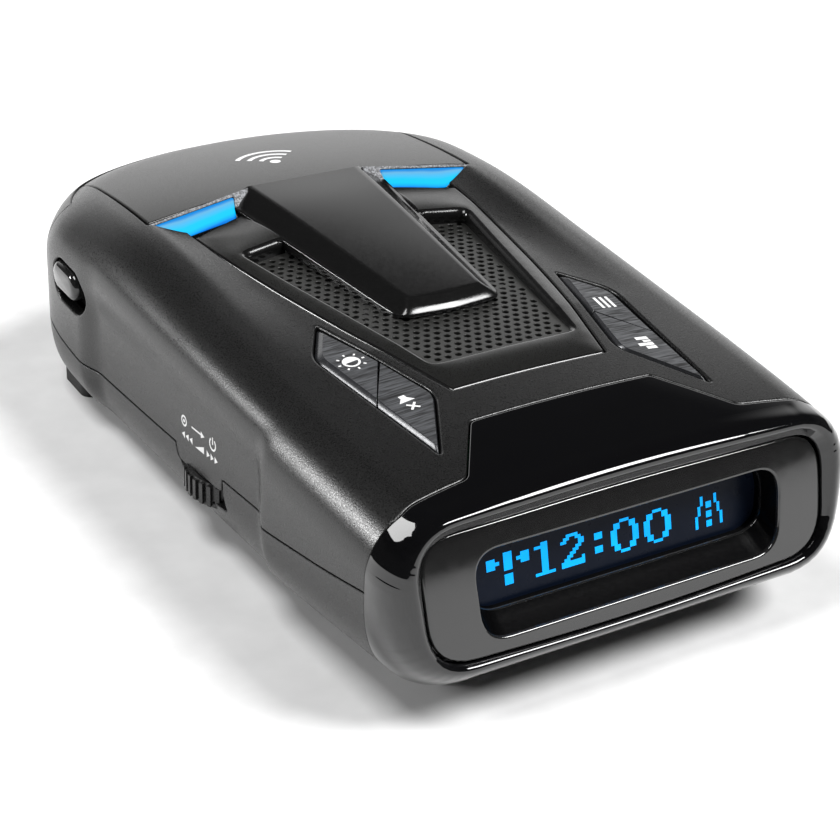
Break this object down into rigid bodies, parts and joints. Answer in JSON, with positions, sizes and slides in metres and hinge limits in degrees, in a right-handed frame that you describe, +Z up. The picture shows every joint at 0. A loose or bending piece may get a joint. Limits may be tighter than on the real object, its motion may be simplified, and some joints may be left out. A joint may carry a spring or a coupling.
{
  "type": "radar detector",
  "caption": "Windshield radar detector: black wedge-backed housing with display, lit alert lenses, grille, press keys, a side volume wheel and a bracket release.",
  "frame": {"origin": "middle of the footprint, on the surface the feet stand on", "axes": "+Y towards the windshield, +X to the driver's right, +Z up"},
  "size_m": [0.0817, 0.1362, 0.038],
  "materials": {
    "cover_black": "fine moulded texture, satin",
    "window_black": "dark infrared window",
    "gloss_black": "piano gloss",
    "fascia_black": "gloss",
    "display_glass": "dark display glass",
    "circuit_board": "solder mask",
    "ribbon": "polyimide film",
    "satin_black": "semi-gloss",
    "grille_black": "satin, perforated",
    "alert_blue": "translucent, lit",
    "trim_grey": "metallic paint",
    "key_grey": "dark brushed",
    "switch_black": "moulded",
    "steel": "plated",
    "wheel_black": "ribbed rim",
    "inner_plastic": "natural",
    "button_gloss": "piano gloss",
    "horn_metal": "diecast",
    "tin": "tinned",
    "patch_ceramic": "ceramic",
    "sensor_black": "infrared filter",
    "led_white": "phosphor",
    "foam": "foam",
    "cone_paper": "pressed paper",
    "magnet": "plated",
    "foot_rubber": "matt",
    "label_grey": "film label, blank"
  },
  "bodies": {
    "housing": {"top_cover": "cover_black", "bottom_cover": "cover_black", "front_panel": "cover_black", "front_window": "window_black", "rear_bezel": "gloss_black", "display_fascia": "fascia_black", "display_panel": "display_glass", "display_board": "circuit_board", "display_cable": "ribbon", "grille_frame": "satin_black", "nose_cowl": "satin_black", "speaker_grille": "grille_black", "alert_lens_left": "alert_blue", "alert_lens_right": "alert_blue", "alert_trim_left": "trim_grey", "alert_trim_right": "trim_grey", "key_boards": "circuit_board", "key_switches": "switch_black", "key_board_screws": "steel", "case_screws": "steel", "board_screws": "steel", "wheel_switch": "switch_black", "latch_spring": "steel", "main_board": "circuit_board", "horn_antenna": "horn_metal", "rf_housing": "horn_metal", "rf_shield": "tin", "gps_antenna": "patch_ceramic", "laser_sensor": "sensor_black", "power_jack": "switch_black", "usb_port": "tin", "alert_led_boards": "circuit_board", "alert_leds": "led_white", "speaker_gasket": "foam", "speaker_basket": "steel", "speaker_cone": "cone_paper", "speaker_magnet": "magnet", "rubber_feet": "foot_rubber", "label_plate": "label_grey"},
    "dim_key_body": {"dim_key": "key_grey"},
    "mute_key_body": {"mute_key": "key_grey"},
    "menu_key_body": {"menu_key": "key_grey"},
    "mode_key_body": {"mode_key": "key_grey"},
    "wheel_slider": {"wheel_carriage": "inner_plastic", "wheel_axle": "steel"},
    "wheel": {"volume_wheel": "wheel_black"},
    "release": {"release_button": "button_gloss", "release_latch": "inner_plastic"}
  },
  "joints": [
    {"name": "dim_key_press", "type": "slide", "parent": "housing", "child": "dim_key_body", "axis": [0, 0, -1], "range_m": [0, 0.0006], "stiffness_N_per_m": 600, "springref_m": -0.001},
    {"name": "mute_key_press", "type": "slide", "parent": "housing", "child": "mute_key_body", "axis": [0, 0, -1], "range_m": [0, 0.0006], "stiffness_N_per_m": 600, "springref_m": -0.001},
    {"name": "menu_key_press", "type": "slide", "parent": "housing", "child": "menu_key_body", "axis": [0, 0, -1], "range_m": [0, 0.0006], "stiffness_N_per_m": 600, "springref_m": -0.001},
    {"name": "mode_key_press", "type": "slide", "parent": "housing", "child": "mode_key_body", "axis": [0, 0, -1], "range_m": [0, 0.0006], "stiffness_N_per_m": 600, "springref_m": -0.001},
    {"name": "wheel_press", "type": "slide", "parent": "housing", "child": "wheel_slider", "axis": [1, 0, 0], "range_m": [0, 0.0008], "stiffness_N_per_m": 900, "springref_m": -0.001},
    {"name": "volume_spin", "type": "hinge", "parent": "wheel_slider", "child": "wheel", "pos_m": [-0.0313, -0.0065, 0.0098], "axis": [0, 0, 1], "continuous": true},
    {"name": "release_press", "type": "slide", "parent": "housing", "child": "release", "axis": [1, 0, 0], "range_m": [0, 0.0015], "stiffness_N_per_m": 700, "springref_m": -0.002, "deforming": ["latch_spring"]}
  ]
}
